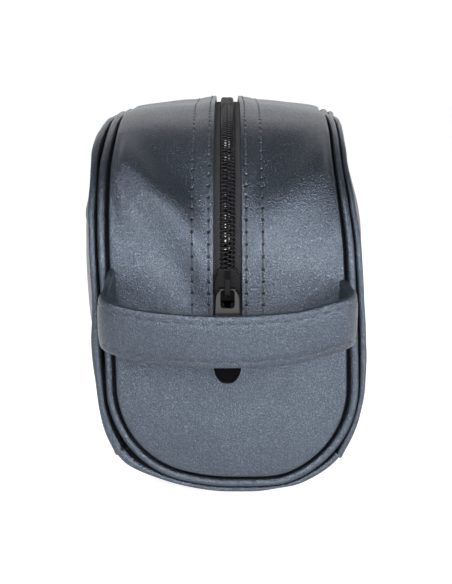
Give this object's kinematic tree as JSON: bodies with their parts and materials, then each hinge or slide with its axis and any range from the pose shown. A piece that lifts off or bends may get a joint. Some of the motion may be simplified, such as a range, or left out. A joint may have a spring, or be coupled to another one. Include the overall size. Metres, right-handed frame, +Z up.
{
  "type": "zipper pouch",
  "caption": "Soft toiletry pouch: one band makes both ends and the top with a central zipper, side and bottom panels, piped seam and strap handle on the front end.",
  "frame": {"origin": "middle of the flat strip of the bottom panel that the pouch rests on", "axes": "+Z up, +Y along the pouch towards the plain back end, +X to the right seen from the strap end"},
  "size_m": [0.1126, 0.2583, 0.1445],
  "materials": {
    "outer_leather": "pearlescent dark gunmetal, fine grain",
    "strap_filler": "matte foam board",
    "piping_cord": "matte",
    "lining_cloth": "plain woven",
    "binding_tape": "ribbed tape",
    "zipper_tape": "twill weave",
    "zipper_coil": "gloss",
    "slider_metal": "gloss black"
  },
  "bodies": {
    "bag": {"end_and_top_panel": "outer_leather", "right_side_panel": "outer_leather", "left_side_panel": "outer_leather", "bottom_panel": "outer_leather", "piping_cover": "outer_leather", "handle_end_right": "outer_leather", "handle_end_left": "outer_leather", "piping_cord": "piping_cord", "end_and_top_lining": "lining_cloth", "right_side_lining": "lining_cloth", "left_side_lining": "lining_cloth", "bottom_lining": "lining_cloth", "seam_binding": "binding_tape", "zipper_tape_right": "zipper_tape", "zipper_tape_left": "zipper_tape", "zipper_coil_right": "zipper_coil", "zipper_coil_left": "zipper_coil", "zipper_top_stops": "zipper_coil", "zipper_bottom_stop": "zipper_coil"},
    "slider": {"slider_body": "slider_metal", "slider_bridge": "slider_metal"},
    "puller": {"puller": "slider_metal"},
    "handle": {"handle_front_cover": "outer_leather", "handle_back_cover": "outer_leather", "handle_filler": "strap_filler"}
  },
  "joints": [
    {"name": "slider_travel", "type": "hinge", "parent": "bag", "child": "slider", "pos_m": [0, -0.0538, 0.0805], "axis": [-1, 0, 0], "range_deg": [0, 68], "deforming": ["zipper_coil_right", "zipper_coil_left"]},
    {"name": "puller_swing", "type": "hinge", "parent": "slider", "child": "puller", "pos_m": [0, -0.117, 0.0789], "axis": [-1, 0, 0], "range_deg": [-8, 8]},
    {"name": "handle_swing", "type": "hinge", "parent": "bag", "child": "handle", "pos_m": [0, -0.1155, 0.069], "axis": [-1, 0, 0], "range_deg": [0, 20]}
  ]
}
